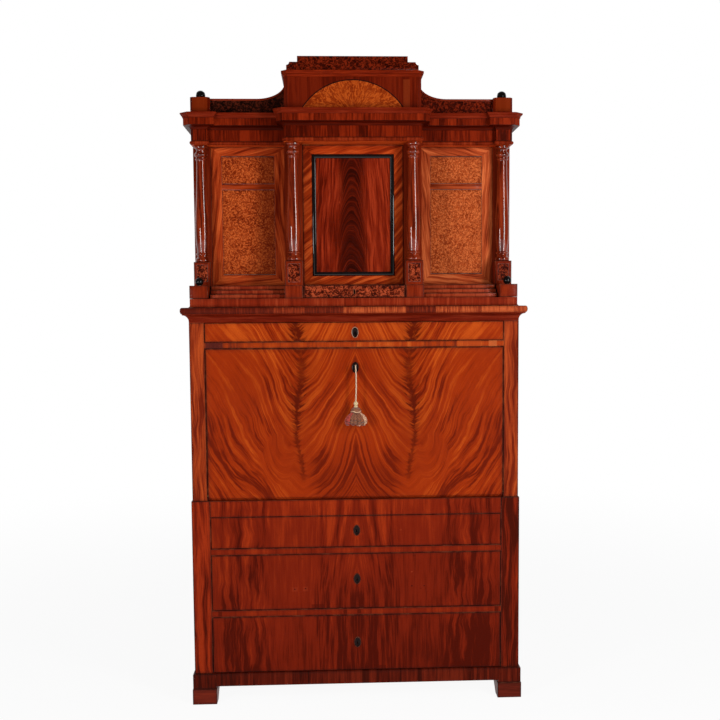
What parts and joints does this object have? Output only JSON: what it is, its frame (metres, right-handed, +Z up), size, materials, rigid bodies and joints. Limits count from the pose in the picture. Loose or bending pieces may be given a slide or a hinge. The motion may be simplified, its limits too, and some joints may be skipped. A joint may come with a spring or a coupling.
{
  "type": "fall-front secretaire",
  "caption": "Tall veneered writing cabinet: a chest of drawers, a writing compartment behind a fall front, and a columned temple-shaped cupboard on top.",
  "frame": {"origin": "on the floor, on the centre plane, midway between the key's bow and the back", "axes": "+Z up, the front faces -Y, +X to the right of someone facing the front"},
  "size_m": [1.1568, 0.5946, 2.1703],
  "materials": {
    "brass": "old brass, rubbed",
    "burr": "polished burr veneer",
    "dark_mahogany": "polished darker mahogany",
    "ebony": "ebonized, polished black",
    "mahogany": "French-polished flame mahogany veneer, glossy",
    "pine": "plain softwood, unpolished",
    "silk": "twisted silk yarn",
    "steel": "dark worn steel",
    "tuft": "clustered silk tufts in red, brown and cream"
  },
  "bodies": {
    "carcass": {"foot_front_left": "dark_mahogany", "foot_back_left": "dark_mahogany", "foot_front_right": "dark_mahogany", "foot_back_right": "dark_mahogany", "plinth": "dark_mahogany", "base_side_left": "mahogany", "base_side_right": "mahogany", "base_back": "pine", "base_floor": "pine", "divider_lower": "mahogany", "divider_upper": "mahogany", "base_top_rail": "mahogany", "case_side_left": "mahogany", "case_side_right": "mahogany", "case_back": "pine", "writing_floor": "mahogany", "top_drawer_floor": "mahogany", "case_top": "mahogany", "fall_pivot_left": "brass", "fall_pivot_right": "brass", "nest": "mahogany", "temple_deck": "mahogany", "outer_pedestal_left": "mahogany", "ball_left": "ebony", "inner_pedestal_left": "mahogany", "outer_pedestal_right": "mahogany", "ball_right": "ebony", "inner_pedestal_right": "mahogany", "column_inner_left": "dark_mahogany", "column_inner_right": "dark_mahogany", "column_outer_left": "dark_mahogany", "column_outer_right": "dark_mahogany", "temple_case": "mahogany", "wing_left": "mahogany", "wing_right": "mahogany", "door_pivot_bottom": "brass", "door_pivot_top": "brass", "entablature": "mahogany", "attic": "mahogany", "attic_cap": "burr", "post_left": "mahogany", "cresting_left": "dark_mahogany", "post_right": "mahogany", "cresting_right": "dark_mahogany"},
    "lower_drawer": {"drawer_lower": "mahogany"},
    "middle_drawer": {"drawer_middle": "mahogany"},
    "upper_drawer": {"drawer_upper": "mahogany"},
    "top_drawer": {"drawer_top": "mahogany"},
    "fall": {"fall_front": "mahogany", "fall_lock_plate": "ebony", "fall_stay_left": "brass", "fall_stay_right": "brass"},
    "key": {"key": "steel"},
    "tassel": {"tassel_cord": "silk", "tassel_head": "silk", "tassel_skirt": "tuft"},
    "cupboard_door": {"door": "mahogany"},
    "burr_drawer": {"burr_drawer": "burr"},
    "nest_drawer_left": {"nest_drawer_left": "mahogany"},
    "nest_drawer_right": {"nest_drawer_right": "mahogany"}
  },
  "joints": [
    {"name": "lower_drawer_slide", "type": "slide", "parent": "carcass", "child": "lower_drawer", "axis": [0, -1, 0], "range_m": [0, 0.33]},
    {"name": "middle_drawer_slide", "type": "slide", "parent": "carcass", "child": "middle_drawer", "axis": [0, -1, 0], "range_m": [0, 0.33]},
    {"name": "upper_drawer_slide", "type": "slide", "parent": "carcass", "child": "upper_drawer", "axis": [0, -1, 0], "range_m": [0, 0.33]},
    {"name": "top_drawer_slide", "type": "slide", "parent": "carcass", "child": "top_drawer", "axis": [0, -1, 0], "range_m": [0, 0.3]},
    {"name": "burr_drawer_slide", "type": "slide", "parent": "carcass", "child": "burr_drawer", "axis": [0, -1, 0], "range_m": [0, 0.2]},
    {"name": "nest_drawer_left_slide", "type": "slide", "parent": "carcass", "child": "nest_drawer_left", "axis": [0, -1, 0], "range_m": [0, 0.035]},
    {"name": "nest_drawer_right_slide", "type": "slide", "parent": "carcass", "child": "nest_drawer_right", "axis": [0, -1, 0], "range_m": [0, 0.035]},
    {"name": "fall_hinge", "type": "hinge", "parent": "carcass", "child": "fall", "pos_m": [0, -0.2441, 0.715], "axis": [1, 0, 0], "range_deg": [0, 90]},
    {"name": "key_turn", "type": "hinge", "parent": "fall", "child": "key", "pos_m": [0, -0.2727, 1.144], "axis": [0, 1, 0], "range_deg": [0, 90]},
    {"name": "tassel_swing", "type": "hinge", "parent": "fall", "child": "tassel", "pos_m": [0, -0.2727, 1.144], "axis": [1, 0, 0], "range_deg": [-90, 0]},
    {"name": "door_hinge", "type": "hinge", "parent": "carcass", "child": "cupboard_door", "pos_m": [-0.1572, -0.15537, 1.4215], "axis": [0, 0, 1], "range_deg": [-90, 0]}
  ],
  "couplings": [
    {"joint": "tassel_swing", "follows": "fall_hinge", "ratio": -1}
  ]
}
